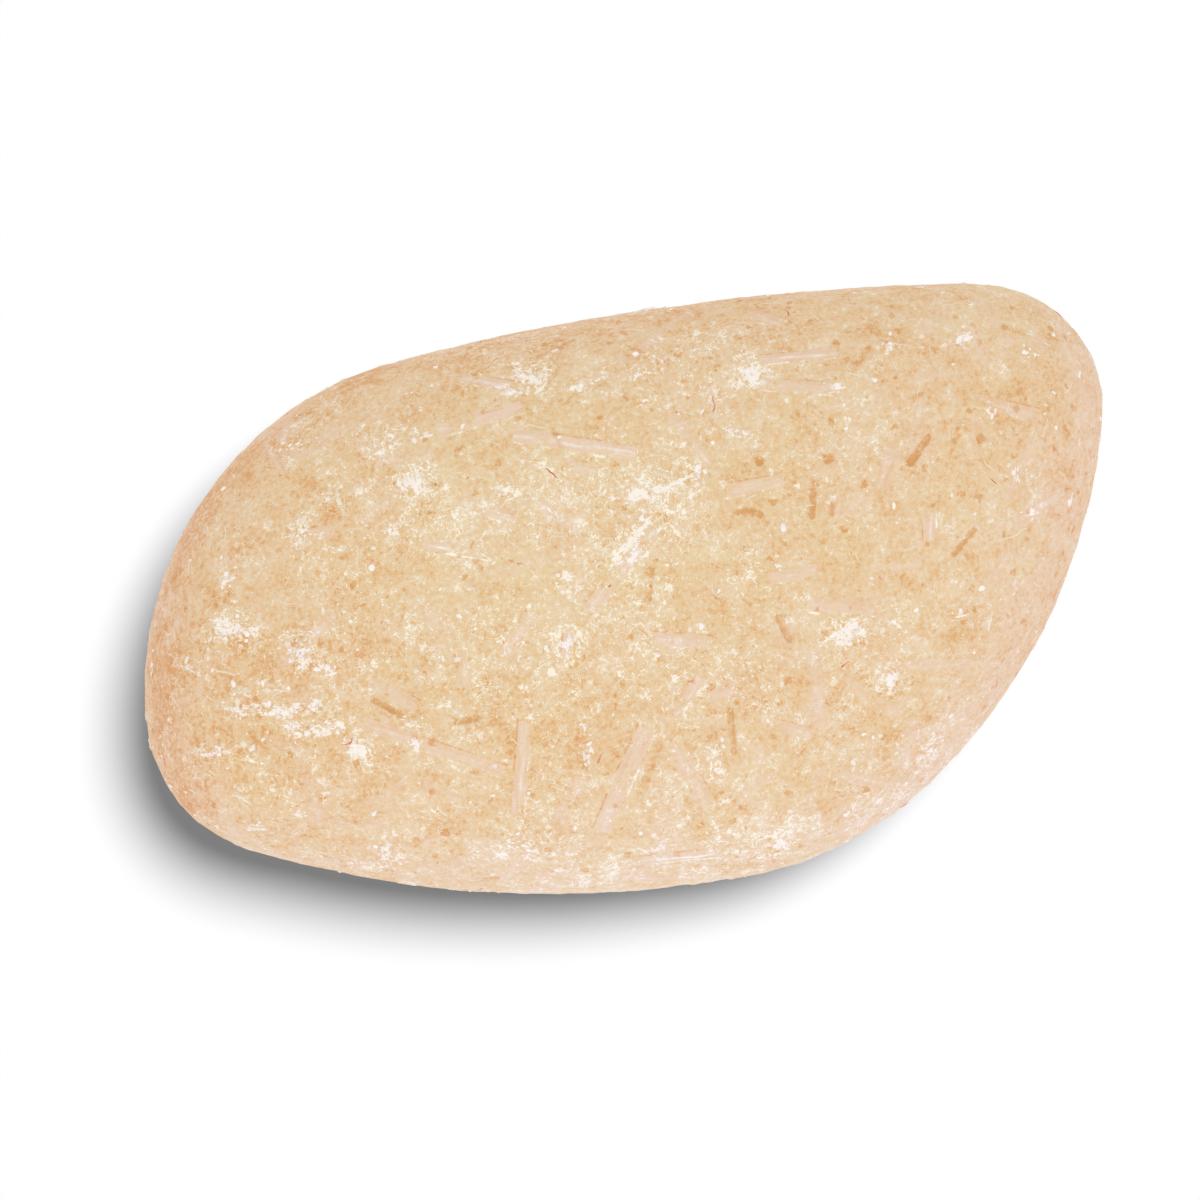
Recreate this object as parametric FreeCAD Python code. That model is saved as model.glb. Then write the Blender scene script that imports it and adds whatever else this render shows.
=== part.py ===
"""Pressed shampoo bar: one solid cake of compacted surfactant noodles, shaped as a lopsided pebble.

The widest contour is a lopsided oval of seven tangent arcs. A domed crown rises from it and a shallower
belly drops from it to a small flat that the bar stands on. Crown and belly leave the widest contour
upright, so the two halves run into each other without an edge.

Frame: origin at the middle of the bar's box on the ground, +X towards the nose, +Y towards the long
straight back, +Z up. Lengths are in millimetres. Bearings are in degrees, anticlockwise from +X.
"""
import FreeCAD
import Part

import math
import os
from collections import namedtuple

from FreeCAD import Vector

# Overall sizes
BAR_LENGTH = 90.0
BAR_WIDTH = 52.8
BELLY_DEPTH = 12.0  # from the ground up to the widest contour
CROWN_HEIGHT = 16.0  # from the widest contour up to the top

# Widest contour: four corner rounds, each of which touches one side of the box
NOSE_RADIUS = 11.0  # touches +X
NOSE_OFFSET = 8.2  # how far the nose's centre lies towards the back
BACK_RADIUS = 30.0  # touches +Y
HEEL_RADIUS = 13.0  # touches -X and runs inside the back's round
HEEL_BEARING = 171.0  # of the point where the back's round runs into the heel's
BELLY_SIDE_RADIUS = 30.0  # touches -Y
BELLY_SIDE_SETBACK = 38.8  # from the nose end to the centre of that round

# Widest contour: the points where the rounds run into the long arcs between them, each just inside
# the part of its round that touches the box. The long arcs take their radii from these.
BACK_FLANK_BEARING = 88.4  # on the back's round: from here almost straight to the nose
HEEL_FLANK_BEARING = 265.0  # on the belly side's round: from here gently up to the heel
FRONT_FLANK_BEARING = 296.3  # on the belly side's round: from here steeply up to the nose
CONTOUR_STATIONS = 48  # evenly spaced points that carry the contour's smooth curve

# Crown: the top leans towards heel and back, so that it falls more gently to the nose and the front
CROWN_SHIFT_X = -6.0
CROWN_SHIFT_Y = 2.5
CROWN_OVAL_LENGTH = 58.0  # level oval that draws the top flat
CROWN_OVAL_WIDTH = 33.0
SHOULDER_RISE = 10.5  # how far the sides keep upright above the widest contour

# Belly: a flat oval on the ground, and a larger level oval that eases the belly into it
FOOT_SHIFT_X = -2.0
FOOT_SHIFT_Y = 0.5
FOOT_LENGTH = 36.0
FOOT_WIDTH = 20.0
FOOT_EASE = 11.0  # how far the easing oval stands outside the foot
BELLY_DROP = 6.5  # how far the sides keep upright below the widest contour

CURVE_DEGREE = 3

Round = namedtuple("Round", "centre radius")


def at_bearing(centre, bearing, reach):
    """The point at that distance from the centre, in the direction of the bearing."""
    angle = math.radians(bearing)
    return centre + Vector(math.cos(angle), math.sin(angle), 0) * reach


def corner_rounds():
    """The nose, back, heel and belly side rounds, placed by the sides of the box that they touch."""
    nose = Round(Vector(BAR_LENGTH / 2 - NOSE_RADIUS, NOSE_OFFSET, 0), NOSE_RADIUS)
    heel_reach = BACK_RADIUS - HEEL_RADIUS
    heel_x = HEEL_RADIUS - BAR_LENGTH / 2
    back_x = heel_x - heel_reach * math.cos(math.radians(HEEL_BEARING))
    back = Round(Vector(back_x, BAR_WIDTH / 2 - BACK_RADIUS, 0), BACK_RADIUS)
    heel = Round(at_bearing(back.centre, HEEL_BEARING, heel_reach), HEEL_RADIUS)
    belly_x = BAR_LENGTH / 2 - BELLY_SIDE_SETBACK
    belly_side = Round(Vector(belly_x, BELLY_SIDE_RADIUS - BAR_WIDTH / 2, 0), BELLY_SIDE_RADIUS)
    return nose, back, heel, belly_side


def flank_round(start, bearing, far):
    """The round that touches the start round at the bearing, touches the far one, and holds both."""
    outward = at_bearing(Vector(), bearing, 1)
    gap = start.centre - far.centre
    excess = start.radius - far.radius
    setback = (gap.Length**2 - excess**2) / (2 * (gap.dot(outward) + excess))
    return Round(start.centre - outward * setback, start.radius + setback)


def touch_bearing(one, other):
    """The bearing at which two rounds touch, where the smaller lies inside the larger."""
    small, large = sorted((one, other), key=lambda each: each.radius)
    way = small.centre - large.centre
    return math.degrees(math.atan2(way.y, way.x))


def arc_edge(arc, start_bearing, end_bearing):
    """The anticlockwise stretch of a round between two bearings."""
    sweep = (end_bearing - start_bearing) % 360
    bearings = (start_bearing, start_bearing + sweep / 2, start_bearing + sweep)
    return Part.Arc(*(at_bearing(arc.centre, bearing, arc.radius) for bearing in bearings)).toShape()


def widest_contour():
    """The bar's plan outline at z = 0: a closed wire of seven tangent arcs."""
    nose, back, heel, belly_side = corner_rounds()
    back_flank = flank_round(back, BACK_FLANK_BEARING, nose)
    heel_flank = flank_round(belly_side, HEEL_FLANK_BEARING, heel)
    front_flank = flank_round(belly_side, FRONT_FLANK_BEARING, nose)
    arcs = [nose, back_flank, back, heel, heel_flank, belly_side, front_flank]
    ends = [touch_bearing(arc, after) for arc, after in zip(arcs, arcs[1:] + arcs[:1])]
    starts = ends[-1:] + ends[:-1]
    return Part.Wire([arc_edge(*stretch) for stretch in zip(arcs, starts, ends)])


def smooth_curve(contour):
    """One closed curve through evenly spaced points of the contour, with no breaks in curvature."""
    points = contour.discretize(Number=CONTOUR_STATIONS + 1)[:-1]
    curve = Part.BSplineCurve()
    curve.interpolate(Points=points, PeriodicFlag=True)
    return curve


def raised(poles, height):
    return [pole + Vector(0, 0, height) for pole in poles]


def level_oval(poles, centre, length, width, height):
    """An oval at one height, with a pole in the direction of each given pole from the centre."""
    ring = []
    for pole in poles:
        outward = (pole - centre).normalize()
        reach = 1 / math.hypot(outward.x / (length / 2), outward.y / (width / 2))
        ring.append(centre + outward * reach + Vector(0, 0, height))
    return ring


def skin(curve, rows):
    """A face drawn by four closed rows of poles, from the first row to the last."""
    surface = Part.BSplineSurface()
    surface.buildFromPolesMultsKnots(
        [list(column) for column in zip(*rows)],
        curve.getMultiplicities(),
        [CURVE_DEGREE + 1, CURVE_DEGREE + 1],
        curve.getKnots(),
        [0.0, 1.0],
        True,
        False,
        CURVE_DEGREE,
        CURVE_DEGREE,
    )
    surface.insertVKnot(0.5, 1, 0.0)  # same form: two shorter spans let its volume be integrated closely
    return surface.toShape()


def crown_face(curve):
    """The upper skin, from the widest contour to the level top."""
    rim = curve.getPoles()
    top = BELLY_DEPTH + CROWN_HEIGHT
    centre = Vector(CROWN_SHIFT_X, CROWN_SHIFT_Y, 0)
    return skin(curve, [
        raised(rim, BELLY_DEPTH),
        raised(rim, BELLY_DEPTH + SHOULDER_RISE),
        level_oval(rim, centre, CROWN_OVAL_LENGTH, CROWN_OVAL_WIDTH, top),
        [centre + Vector(0, 0, top)] * len(rim),
    ])


def belly_face(curve):
    """The lower skin, from the foot's edge, where it lies level, up to the widest contour."""
    rim = curve.getPoles()
    centre = Vector(FOOT_SHIFT_X, FOOT_SHIFT_Y, 0)
    ease_length = FOOT_LENGTH + 2 * FOOT_EASE
    ease_width = FOOT_WIDTH + 2 * FOOT_EASE
    return skin(curve, [
        level_oval(rim, centre, FOOT_LENGTH, FOOT_WIDTH, 0),
        level_oval(rim, centre, ease_length, ease_width, 0),
        raised(rim, BELLY_DEPTH - BELLY_DROP),
        raised(rim, BELLY_DEPTH),
    ])


def foot_face(belly):
    """The flat that the bar stands on, bounded by the belly's lower edge."""
    lower_edge = min(belly.Edges, key=lambda edge: edge.BoundBox.ZMax)
    return Part.Face(Part.Wire([lower_edge]))


def pressed_bar():
    curve = smooth_curve(widest_contour())
    belly = belly_face(curve)
    shell = Part.Shell([crown_face(curve), belly, foot_face(belly)])
    return Part.Solid(shell)


os.makedirs("parts", exist_ok=True)
bar = pressed_bar()
bar.exportStep("parts/pressed_bar.step")
print("pressed_bar", bar.isValid(), round(bar.Volume, 1), "mm3", bar.optimalBoundingBox(False, False))
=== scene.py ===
"""A pressed shampoo bar: a pebble of compacted noodles, with the marks and crumbs of its pressing."""

import math

import bpy
from bpy.props import FloatProperty, FloatVectorProperty, IntProperty, PointerProperty
from bpy.types import Operator, Panel, PropertyGroup
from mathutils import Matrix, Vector
from mathutils.bvhtree import BVHTree


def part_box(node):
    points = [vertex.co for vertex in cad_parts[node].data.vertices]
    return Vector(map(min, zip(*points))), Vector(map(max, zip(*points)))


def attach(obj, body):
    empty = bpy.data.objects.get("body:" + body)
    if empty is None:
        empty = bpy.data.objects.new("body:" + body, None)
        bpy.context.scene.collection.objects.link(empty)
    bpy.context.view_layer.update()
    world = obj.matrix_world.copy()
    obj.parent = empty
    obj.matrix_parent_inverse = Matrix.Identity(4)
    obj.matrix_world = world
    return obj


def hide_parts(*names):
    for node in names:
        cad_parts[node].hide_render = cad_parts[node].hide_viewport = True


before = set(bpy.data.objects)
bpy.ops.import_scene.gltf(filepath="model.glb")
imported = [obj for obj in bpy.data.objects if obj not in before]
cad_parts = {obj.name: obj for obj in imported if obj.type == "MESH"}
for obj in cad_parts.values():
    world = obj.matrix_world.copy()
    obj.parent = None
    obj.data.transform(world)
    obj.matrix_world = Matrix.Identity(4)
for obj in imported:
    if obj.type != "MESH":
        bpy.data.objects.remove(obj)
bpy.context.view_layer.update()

bl_info = {
    "name": "Pressed Shampoo Bar",
    "version": (1, 0, 0),
    "blender": (4, 5, 0),
    "location": "View3D > Sidebar > Shampoo Bar",
    "description": "Builds a pressed shampoo bar on its solid, and the stage it is shown on",
    "category": "Object",
}

MM = 0.001
NODE = "pressed_bar"
SENSOR_WIDTH = 36.0  # of the camera, in millimetres
MARK_STEPS = 8  # straight runs that each pressed mark is divided into, so that it can follow the skin
BLUR_STEPS = 6  # evening-out steps in each round that eases the skin's grid
MARK_CROWD = 1e7  # marks tried per square metre, before those nearer to each other than their spacing go
CRUMB_CROWD = 1e8  # crumbs tried per square metre, in the same way
CRUMB_FREE = 1.0  # millimetres over the floor that crumbs keep off
LIP_SHARE = 0.25  # height of the lip round a groove, as a share of the groove's depth
SLIVER_TAPER = 0.9  # share of a sliver's cross-section that is gone at its ends
FIBRE_THICKNESS = 0.13  # of the chosen red fibres, in millimetres
NEAR_LIMIT = 10.0  # millimetres in front of the camera, within which it shows nothing
# The crown's paler top is painted light, on the part of the dome that faces the light most.
CROWN_MIDDLE = (-5.0, 6.0)  # x and y of the middle of the crown's paler top, in millimetres
CROWN_REACH = (34.0, 21.0)  # how far the paler top reaches along x and y, in millimetres
DARK_KNEE = 0.12  # paleness under which the darkest tones are drawn together
DARK_SHARE = 0.4  # what is left of their distance from it
OWN_STREAKS = 50.0  # how far apart in the noise noodles of different strength are, so that none looks alike
SKIN, CRUMBS, SHAVINGS, FIBRES = "bar_skin", "crumbs", "shavings", "fibres"
RELIEFS = ("Wave", "Lump", "Noodle", "Groove", "Flake")
MARK_LIMITS = ("Spacing", "Clearance", "Shortest", "Longest", "Narrowest", "Broadest", "Faintest",
               "Strongest")
PALETTE = {"Deep Tan": 0.0, "Tan": 0.25, "Biscuit": 0.5, "Pale Biscuit": 0.75, "Cream": 0.9,
           "Flake White": 1.0}  # each colour's place on the scale of paleness
# The way each side faces, and how far the skin must lean that way to start its tint and to have all of it.
# The back's deeper tan is painted shade, and the front's added paleness is painted light.
SIDES = {
    "back": (Vector((-0.42, 0.91, 0.0)), 0.58, 1.0),
    "front": (Vector((-0.1, -0.99, 0.0)), 0.25, 0.9),
    "heel": (Vector((-1.0, 0.0, 0.0)), 0.4, 1.0),
    "nose": (Vector((0.94, -0.34, 0.0)), 0.3, 0.9),
    "under": (Vector((0.0, 0.0, -1.0)), 0.0, 0.6),
}

# What each mask of the skin adds to its paleness, from deep tan at 0 to white at 1, where it is full.
# Painted shade: groove, pits and the noodle's dark side line. Painted light: front and crown.
PALENESS_ADDED = {"side_shade": -0.4, "hem": 0.4, "pits": -0.4, "groove": -0.55, "flake": 0.6, "crown": 0.1,
                  "deep": -1.0, "front": 0.18, "nose": -0.06}
# And to its pinkness, from yellowish at 0 to pinkish at 1.
PINKNESS_ADDED = {"noodle": 0.8, "heel": 0.9, "nose": 0.75, "back": 0.35, "front": 0.35, "crown": -0.2,
                  "flake": 0.3}
# On the back, this deeper tan is painted shade of the side that turns away from the light.
DEEP_PARTS = {"west": 0.12, "heel": 0.24, "back": 0.25}  # how deep a tan each part has, where it is full
DEEPEST = 0.26  # the deepest tan that they make together
UNDERSIDE_SHARE = 0.6  # what is left of it on the underside
WEST_END = (-10.0, -36.0)  # x where the tan of the west end starts and where it is full, in millimetres

# Marks that show on the crown. Each has the x and y of its middle, its bearing in degrees, its length, its
# breadth, and its strength from 0, faint, to 1. Lengths are in millimetres. All of them are read at the
# level of the widest contour, looking from the camera.
NOODLES = (
    (-9.0, 19.5, 0, 8.0, 1.4, 0.7),
    (-1.5, 15.0, -25, 11.0, 1.3, 1.0),
    (-2.0, 13.0, -30, 4.5, 1.2, 0.5),
    (-14.5, 9.0, -25, 6.0, 0.9, 0.9),
    (-10.5, 11.5, -35, 5.5, 1.2, 0.5),
    (-7.5, 22.5, -25, 4.5, 1.2, 0.8),
    (-0.5, 3.0, 35, 9.5, 1.4, 0.6),
    (20.0, 17.0, -10, 7.0, 1.0, 0.9),
    (19.0, 14.5, -20, 6.5, 1.2, 0.7),
    (13.0, 7.0, -5, 5.5, 1.2, 0.7),
    (36.5, 7.5, -30, 6.5, 1.2, 0.6),
    (14.0, -1.5, -5, 4.5, 1.1, 0.6),
    (17.5, -5.5, -20, 6.0, 1.3, 0.7),
    (27.0, -0.5, 75, 3.0, 1.2, 0.8),
    (24.0, -3.5, 0, 3.0, 1.1, 0.5),
    (36.5, 2.5, 50, 7.5, 1.3, 0.4),
    (36.0, -2.0, 15, 7.0, 1.2, 0.5),
    (31.5, -6.5, 45, 6.0, 1.3, 0.4),
    (-23.0, -2.0, -45, 4.5, 1.2, 0.7),
    (-21.0, -7.5, -35, 13.5, 1.2, 0.6),
    (-14.0, -11.5, 70, 8.5, 1.1, 0.8),
    (-10.5, -15.5, 45, 4.5, 1.5, 0.4),
    (-5.5, -15.0, 50, 10.0, 1.6, 0.7),
    (0.5, -16.5, -75, 6.0, 1.5, 0.5),
    (2.0, -9.5, 40, 4.0, 0.9, 1.0),
    (3.0, -4.5, -20, 5.0, 1.2, 0.7),
    (-16.0, -1.0, 65, 5.0, 1.3, 0.5),
    (-11.0, 0.0, 40, 4.5, 1.2, 0.5),
    (-7.0, -2.0, 70, 2.5, 0.9, 1.0),
    (-29.5, 4.5, 30, 7.5, 1.2, 0.5),
    (10.5, -15.0, -30, 3.0, 1.1, 0.5),
    (24.5, -13.0, -15, 5.5, 1.2, 0.4),
    (5.0, -10.0, 5, 2.5, 1.2, 0.5),
    (-2.5, -23.0, -10, 7.0, 1.3, 0.9),
)
GROOVES = (
    (28.0, 6.0, 40, 3.5, 0.8, 1.0),
    (29.5, -3.0, 35, 3.5, 0.7, 1.0),
    (17.5, 4.0, 70, 3.0, 0.7, 0.9),
    (19.0, 3.0, 75, 1.5, 0.7, 0.7),
    (25.5, 15.5, 40, 2.5, 0.7, 0.5),
    (1.5, 1.0, 70, 3.5, 0.8, 0.8),
    (12.0, -6.0, -80, 3.0, 0.8, 1.0),
    (5.0, -13.5, 80, 4.5, 0.7, 0.8),
    (3.5, -13.0, 75, 2.0, 0.7, 0.5),
    (-2.5, -14.0, 55, 4.5, 1.0, 0.5),
    (-0.5, -18.5, -80, 1.5, 0.7, 0.5),
    (21.5, -17.5, 20, 2.5, 0.6, 0.4),
    (-24.0, -3.0, -45, 3.5, 0.7, 1.0),
    (-17.5, -6.0, -5, 2.5, 0.7, 1.0),
    (-20.5, 4.5, 60, 2.5, 0.5, 0.4),
    (-35.0, 10.5, 65, 2.0, 0.7, 0.7),
    (39.0, 14.0, -35, 2.5, 0.8, 0.5),
    (41.0, 4.0, 90, 1.5, 0.8, 0.5),
    (11.5, 5.0, -10, 2.5, 0.6, 0.7),
    (31.0, 5.5, 50, 2.5, 0.5, 0.4),
    (20.0, 7.5, -60, 1.0, 1.1, 0.9),
    (14.0, 9.0, -80, 1.0, 0.9, 0.9),
    (33.5, 5.5, 15, 1.0, 0.9, 0.9),
    (-11.5, 17.5, 15, 1.0, 0.7, 0.8),
    (-14.5, 15.0, 20, 0.6, 0.9, 0.9),
    (-24.0, 11.0, -35, 1.0, 0.8, 0.6),
)
FLAKES = (
    (-33.5, -0.5, -15, 9.0, 1.1, 0.9),
    (-31.0, -3.0, -15, 4.0, 1.2, 0.9),
    (-27.5, -6.0, -40, 1.6, 1.2, 1.0),
    (-30.0, 4.0, 15, 2.0, 2.4, 0.9),
    (-35.0, 7.5, -25, 3.5, 2.0, 0.8),
    (-18.0, 19.0, -40, 1.2, 1.6, 0.7),
    (-16.0, 15.5, -70, 2.0, 2.6, 0.9),
    (-23.5, 16.5, -15, 1.2, 1.4, 0.6),
    (-27.0, 14.0, -15, 1.6, 1.6, 0.7),
    (-3.5, 21.5, -60, 2.0, 2.2, 0.9),
    (15.5, 16.5, -65, 1.4, 1.4, 1.0),
    (5.0, 9.0, 0, 7.5, 2.0, 0.5),
    (1.5, 5.5, 30, 6.5, 2.2, 0.45),
    (17.5, -8.0, 10, 2.5, 1.6, 1.0),
    (20.0, -13.0, -50, 1.1, 1.4, 1.0),
    (21.5, -20.0, -10, 1.3, 1.6, 0.5),
    (-7.0, -2.0, -60, 1.3, 1.4, 0.9),
    (28.0, 15.5, 0, 0.9, 0.9, 1.0),
    (35.0, 7.5, 60, 0.9, 0.8, 1.0),
    (35.5, 1.5, 70, 0.9, 0.6, 1.0),
    (34.5, 14.5, 15, 1.8, 0.8, 0.95),
    (22.5, 13.5, 0, 0.8, 0.7, 1.0),
    (12.5, 12.0, -20, 1.5, 0.8, 0.95),
    (39.5, -2.0, 60, 0.7, 0.6, 1.0),
    (36.0, -2.0, 0, 0.7, 0.5, 1.0),
    (40.0, 11.5, 0, 0.6, 0.6, 1.0),
    (27.5, -9.0, 0, 0.6, 0.6, 1.0),
    (29.5, -10.5, 60, 1.4, 0.7, 0.95),
    (-34.5, 12.0, 15, 1.7, 0.8, 0.95),
    (-28.0, 1.5, 0, 0.7, 0.5, 1.0),
    (-36.0, 2.0, -25, 2.1, 0.8, 0.95),
    (-33.0, 1.5, -20, 2.2, 0.5, 0.95),
    (-22.0, -5.0, -15, 1.6, 0.8, 0.95),
    (-22.5, -6.5, 0, 0.7, 0.6, 1.0),
    (-15.0, -3.5, -30, 1.6, 1.0, 0.9),
    (-19.0, -4.0, -15, 1.4, 0.5, 0.95),
    (-38.5, -7.0, -50, 1.2, 0.5, 1.0),
    (-38.0, -10.0, -20, 1.5, 0.6, 1.0),
    (-39.5, -2.5, -10, 3.2, 1.0, 0.85),
    (-40.0, 5.5, -35, 2.4, 0.6, 0.9),
    (-5.0, 21.0, -15, 2.4, 0.7, 0.95),
    (1.5, 20.0, 15, 3.6, 0.5, 0.95),
    (8.0, 20.0, -70, 1.4, 0.9, 0.9),
    (6.0, 19.5, 0, 1.0, 0.6, 0.95),
    (-8.0, 13.0, 0, 1.8, 1.2, 0.6),
    (-14.0, 19.5, 0, 0.7, 0.6, 1.0),
    (7.5, 8.0, 20, 1.2, 0.7, 0.9),
    (-5.5, 4.0, 0, 0.8, 0.7, 1.0),
    (4.0, 2.5, 0, 0.6, 0.5, 1.0),
)
# Red fibres on the crown: the x and y of the middle, the bearing in degrees and the length in millimetres.
RED_FIBRES = (
    (-4.0, 13.0, -50, 1.4),
    (-9.0, 6.0, -35, 0.6),
    (-2.0, 2.0, -20, 0.6),
    (11.5, 15.0, 65, 1.6),
    (-7.0, -12.5, 40, 1.0),
    (16.5, -10.5, 15, 0.8),
    (-28.0, -5.0, 10, 1.5),
    (-22.5, 4.5, 60, 0.5),
    (20.0, 21.0, 80, 0.6),
    (21.5, -4.0, -70, 0.5),
)
# Pale shavings on the crown, each with its middle, bearing, length, thickness and strength as above.
PALE_SHAVINGS = (
    (5.5, 10.0, -25, 2.1, 0.3, 1.0),
    (-1.0, 5.5, 0, 2.0, 0.25, 1.0),
    (-4.5, 17.5, -25, 2.5, 0.2, 1.0),
    (3.5, 9.5, -45, 2.6, 0.2, 1.0),
    (-1.5, 4.5, 5, 1.3, 0.2, 1.0),
    (-37.0, 4.0, -30, 2.0, 0.25, 1.0),
    (-36.0, 2.0, -30, 2.0, 0.25, 1.0),
    (-38.5, -7.0, -50, 1.2, 0.3, 1.0),
    (-38.0, -10.0, -25, 1.3, 0.35, 1.0),
    (-34.5, -10.0, -15, 1.0, 0.2, 1.0),
    (28.0, -0.5, 70, 1.2, 0.2, 1.0),
    (34.0, -3.5, 10, 2.8, 0.2, 1.0),
    (36.5, 7.5, 70, 0.9, 0.2, 1.0),
    (42.5, 10.5, 70, 0.9, 0.2, 1.0),
)


# ---------------------------------------------------------------- node trees

class Tree:
    """A node tree being built, with short ways to add nodes and wire them."""

    def __init__(self, name, kind):
        self.attach(bpy.data.node_groups.new(name, kind))
        self.entry = self.nodes.new("NodeGroupInput")
        self.exit = self.nodes.new("NodeGroupOutput")

    def attach(self, tree):
        self.tree = tree
        self.nodes = tree.nodes
        self.links = tree.links
        return self

    @classmethod
    def of_material(cls, material):
        material.use_nodes = True
        tree = cls.__new__(cls).attach(material.node_tree)
        tree.nodes.clear()
        return tree

    of_world = of_material

    def takes(self, name, kind, default=None):
        """A named input. Its socket inside the tree is returned."""
        socket = self.tree.interface.new_socket(name, in_out="INPUT", socket_type="NodeSocket" + kind)
        if default is not None:
            socket.default_value = default
        return self.entry.outputs[name]

    def takes_each(self, kind, *names):
        """Named inputs of one kind."""
        return [self.takes(name, kind) for name in names]

    def gives(self, name, kind, value):
        """A named output, fed by a socket."""
        self.tree.interface.new_socket(name, in_out="OUTPUT", socket_type="NodeSocket" + kind)
        self.links.new(value, self.exit.inputs[name])

    def add(self, kind, wires=None, **settings):
        """A node with its settings, and its inputs wired or set by name or number."""
        node = self.nodes.new(kind)
        for name, value in settings.items():
            setattr(node, name, value)
        for key, value in (wires or {}).items():
            socket = node.inputs[key] if isinstance(key, int) else named(node.inputs, key)
            if isinstance(value, bpy.types.NodeSocket):
                self.links.new(value, socket)
            else:
                socket.default_value = value
        return node

    def out(self, kind, wires=None, output=None, **settings):
        """Like add, but returns one of the node's outputs: the named one, or the first in use."""
        node = self.add(kind, wires, **settings)
        return named(node.outputs, output)

    def math(self, operation, *values, clamp=False):
        wires = dict(enumerate(values))
        return self.out("ShaderNodeMath", wires, operation=operation, use_clamp=clamp)

    def plus(self, first, second):
        return self.math("ADD", first, second)

    def minus(self, first, second):
        return self.math("SUBTRACT", first, second)

    def times(self, first, second, clamp=False):
        return self.math("MULTIPLY", first, second, clamp=clamp)

    def scaled(self, value, factor, addend):
        """The value times the factor, plus the addend."""
        return self.math("MULTIPLY_ADD", value, factor, addend)

    def vector_math(self, operation, *values, scale=None):
        wires = dict(enumerate(values))
        if scale is not None:
            wires["Scale"] = scale
        return self.out("ShaderNodeVectorMath", wires, operation=operation)

    def dot(self, first, second):
        return self.out("ShaderNodeVectorMath", {0: first, 1: second}, "Value", operation="DOT_PRODUCT")

    def length(self, vector):
        return self.out("ShaderNodeVectorMath", {0: vector}, "Value", operation="LENGTH")

    def along(self, axis, vector):
        return self.out("ShaderNodeSeparateXYZ", {0: vector}, axis)

    def remap(self, value, low, high, to_low=0.0, to_high=1.0, smooth=True):
        """The value carried from one range to another, held at its ends."""
        wires = {"Value": value, "From Min": low, "From Max": high, "To Min": to_low, "To Max": to_high}
        easing = "SMOOTHSTEP" if smooth else "LINEAR"
        return self.out("ShaderNodeMapRange", wires, interpolation_type=easing)

    def mix(self, factor, first, second, kind="FLOAT", blend="MIX"):
        wires = {"Factor": factor, "A": first, "B": second}
        return self.out("ShaderNodeMix", wires, data_type=kind, blend_type=blend)

    def in_mm(self, place):
        return self.vector_math("SCALE", place, scale=1 / MM)

    def noise(self, place, scale, detail=2.0, roughness=0.5, distortion=0.0, output="Fac"):
        wires = {"Vector": place, "Scale": scale, "Detail": detail, "Roughness": roughness,
                 "Distortion": distortion}
        return self.out("ShaderNodeTexNoise", wires, output)

    def wander(self, place, scale, detail, reach, roughness=0.5):
        """An offset that wanders from place to place, at most half the reach along each axis."""
        way = self.noise(place, scale, detail, roughness, output="Color")
        way = self.vector_math("SUBTRACT", way, (0.5, 0.5, 0.5))
        return self.vector_math("SCALE", way, scale=reach)

    def moved(self, geometry, position):
        return self.out("GeometryNodeSetPosition", {"Geometry": geometry, "Position": position})

    def shifted(self, geometry, offset):
        return self.out("GeometryNodeSetPosition", {"Geometry": geometry, "Offset": offset})

    def group(self, tree, wires=None):
        """A node of another tree, in this one."""
        kind = "GeometryNodeGroup" if tree.bl_idname == "GeometryNodeTree" else "ShaderNodeGroup"
        node = self.nodes.new(kind)
        node.node_tree = tree
        for key, value in (wires or {}).items():
            if isinstance(value, bpy.types.NodeSocket):
                self.links.new(value, node.inputs[key])
            else:
                node.inputs[key].default_value = value
        return node


def named(sockets, name):
    """The socket in use with that name, or the first in use."""
    return next(each for each in sockets if each.enabled and name in (None, each.name))


# ---------------------------------------------------------------- geometry trees

def modifier_tree(name):
    """A tree for a modifier. It makes its piece from its other inputs, and not from the modifier's mesh."""
    t = Tree(name, "GeometryNodeTree")
    t.tree.is_modifier = True
    t.takes("Geometry", "Geometry")
    return t


def mesh_of(t, piece):
    """The mesh of a piece that is given as an input."""
    return t.out("GeometryNodeObjectInfo", {"Object": piece}, "Geometry")


def skin_grid_tree():
    """An even grid of small faces all over the solid: a cube's grid rounded, then eased along the solid."""
    t = Tree("Skin Grid", "GeometryNodeTree")
    solid = t.takes("Solid", "Geometry")
    middle, half_size = t.takes_each("Vector", "Middle", "Half Size")
    cells = {axis: t.takes(f"Cells {axis}", "Int") for axis in "XYZ"}
    rounds = t.takes("Easing Rounds", "Int")

    counts = {f"Vertices {axis}": t.plus(count, 1) for axis, count in cells.items()}
    cube = t.out("GeometryNodeMeshCube", {"Size": (2, 2, 2), **counts}, "Mesh")
    place = t.out("GeometryNodeInputPosition")
    turned = t.vector_math("TANGENT", t.vector_math("SCALE", place, scale=math.pi / 4))
    outward = t.vector_math("NORMALIZE", turned)
    blank = t.moved(cube, t.vector_math("MULTIPLY_ADD", outward, half_size, middle))

    start = t.nodes.new("GeometryNodeRepeatInput")
    end = t.nodes.new("GeometryNodeRepeatOutput")
    start.pair_with_output(end)
    t.links.new(rounds, start.inputs["Iterations"])
    t.links.new(blank, start.inputs["Geometry"])
    even = {"Value": place, "Iterations": BLUR_STEPS}
    even = t.out("GeometryNodeBlurAttribute", even, data_type="FLOAT_VECTOR")
    eased = seated(t, t.moved(start.outputs["Geometry"], even), solid)
    t.links.new(eased, end.inputs["Geometry"])
    t.gives("Grid", "Geometry", end.outputs["Geometry"])
    return t.tree


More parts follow.
